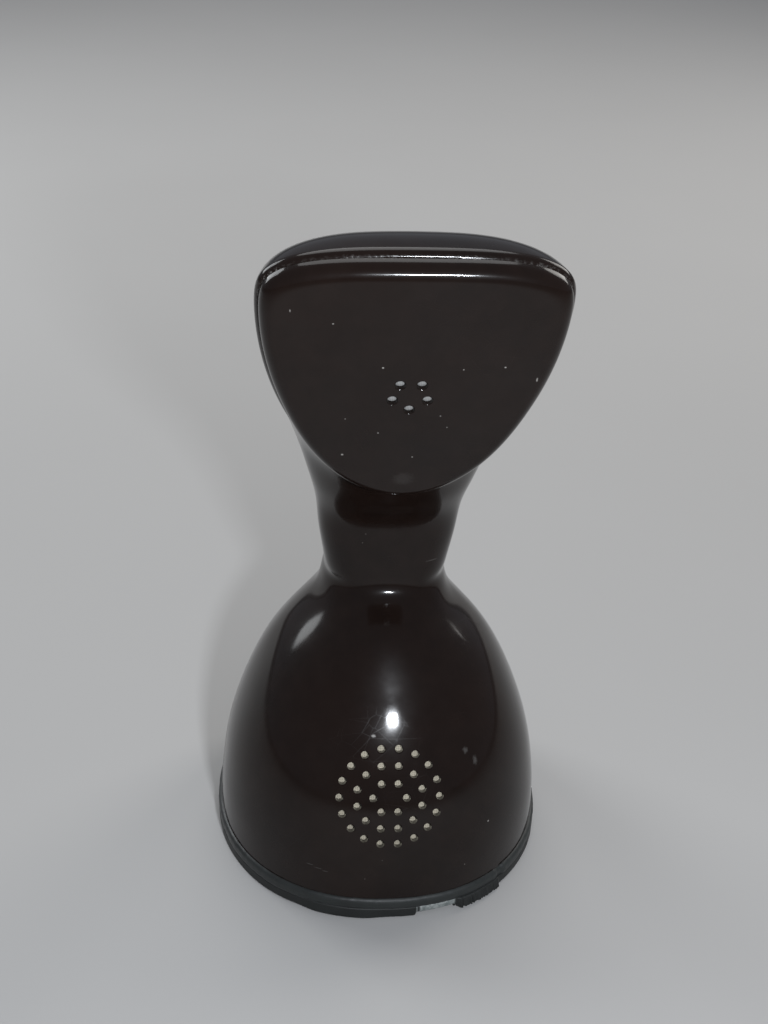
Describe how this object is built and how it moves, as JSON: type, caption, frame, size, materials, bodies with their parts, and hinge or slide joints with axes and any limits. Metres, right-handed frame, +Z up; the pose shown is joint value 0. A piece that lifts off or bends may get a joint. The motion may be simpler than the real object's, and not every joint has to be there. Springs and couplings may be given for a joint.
{
  "type": "one-piece desk telephone",
  "caption": "One-piece upright desk telephone with the earpiece in a forward-leaning head, and a rotary dial and hook button under its round foot.",
  "frame": {"origin": "centre of the foot on the table, under the middle of the dial", "axes": "+Z up the neck to the head, -Y the front where the ear plate and mouthpiece holes are, +X to the right of someone facing the front"},
  "size_m": [0.1082, 0.1106, 0.2229],
  "materials": {
    "shell_plastic": "very dark brown moulded plastic, high gloss, light wear",
    "black_rubber": "black soft rubber, dull",
    "grey_bead": "mid grey vinyl bead, satin",
    "grey_rubber": "grey sealing rubber",
    "grey_gauze": "fine grey gauze",
    "cream_cloth": "cream dust cloth",
    "capsule_metal": "satin drawn aluminium",
    "plated_steel": "zinc plated steel",
    "turned_steel": "turned bright steel",
    "spring_steel": "spring steel",
    "cast_metal": "die-cast, matt",
    "brass": "turned brass",
    "painted_base": "black stoved enamel, satin",
    "dial_plastic": "very dark brown moulded plastic, gloss",
    "button_plastic": "very dark brown moulded plastic, gloss",
    "number_card": "pale cream number ring with dark figures",
    "dark_plastic": "brown phenolic",
    "board_laminate": "phenolic paper laminate",
    "core_iron": "laminated iron",
    "copper_winding": "enamelled copper wire, varnished",
    "lead_sleeve": "grey sleeved lead"
  },
  "bodies": {
    "root": {"main_shell": "shell_plastic", "ear_plate": "shell_plastic", "receiver_gauze": "grey_gauze", "receiver_gasket": "grey_rubber", "receiver_capsule": "capsule_metal", "receiver_clamp": "plated_steel", "capsule_screws": "plated_steel", "transmitter_cloth": "cream_cloth", "transmitter_gasket": "grey_rubber", "transmitter_capsule": "capsule_metal", "transmitter_clamp": "plated_steel", "foot_skirt": "black_rubber", "foot_bead": "grey_bead", "base_plate": "painted_base", "shell_inserts": "brass", "base_screws": "plated_steel", "cord_grommet": "black_rubber", "number_ring": "number_card", "dial_frame": "cast_metal", "shaft_bush": "brass", "finger_stop": "plated_steel", "governor_cup": "plated_steel", "mechanism_plate": "plated_steel", "mechanism_pillars": "turned_steel", "dial_return_spring": "spring_steel", "spring_barrel": "plated_steel", "pulse_contact_block": "dark_plastic", "pulse_contacts": "spring_steel", "hook_bush": "brass", "hook_spring": "spring_steel", "hook_bridge": "plated_steel", "lever_pin": "turned_steel", "switch_block": "dark_plastic", "switch_contacts": "spring_steel", "circuit_board": "board_laminate", "board_standoffs": "brass", "board_screws": "plated_steel", "coil_core": "core_iron", "coil_former": "dark_plastic", "coil_winding": "copper_winding", "coil_strap": "plated_steel", "capacitor": "capsule_metal", "capacitor_clip": "plated_steel", "terminal_block": "dark_plastic", "terminal_screws": "brass", "receiver_lead": "lead_sleeve", "transmitter_lead": "lead_sleeve"},
    "dial": {"finger_wheel": "dial_plastic", "dial_shaft": "turned_steel", "main_gear": "brass", "wheel_screws": "plated_steel"},
    "pulse": {"pulse_spindle": "turned_steel", "pulse_pinion": "turned_steel", "pulse_cam": "dark_plastic", "pulse_wheel": "brass"},
    "governor": {"governor_spindle": "turned_steel", "governor_arm": "brass"},
    "plunger": {"hook_button": "button_plastic", "hook_rod": "turned_steel"},
    "lever": {"hook_lever": "plated_steel"}
  },
  "joints": [
    {"name": "dial_turn", "type": "hinge", "parent": "root", "child": "dial", "pos_m": [0, 0, 0.0062], "axis": [0, 0, 1], "range_deg": [0, 330], "stiffness_Nm_per_rad": 0.004, "springref_deg": -171.89},
    {"name": "pulse_spin", "type": "hinge", "parent": "root", "child": "pulse", "pos_m": [-0.01949, 0.01125, 0.0132], "axis": [0, 0, 1], "range_deg": [-1320, 0]},
    {"name": "governor_spin", "type": "hinge", "parent": "root", "child": "governor", "pos_m": [-0.02852, 0.00493, 0.0177], "axis": [0, 0, 1], "range_deg": [0, 3300]},
    {"name": "plunger_slide", "type": "slide", "parent": "root", "child": "plunger", "axis": [0, 0, -1], "range_m": [0, 0.0045], "stiffness_N_per_m": 120, "springref_m": 0.011, "deforming": ["hook_spring"]},
    {"name": "lever_tilt", "type": "hinge", "parent": "root", "child": "lever", "pos_m": [0, 0.013, 0.0419], "axis": [1, 0, 0], "range_deg": [0, 16.6]}
  ],
  "couplings": [
    {"joint": "pulse_spin", "follows": "dial_turn", "ratio": -4},
    {"joint": "governor_spin", "follows": "dial_turn", "ratio": 10},
    {"joint": "lever_tilt", "follows": "plunger_slide", "rad_per_m": 64}
  ]
}
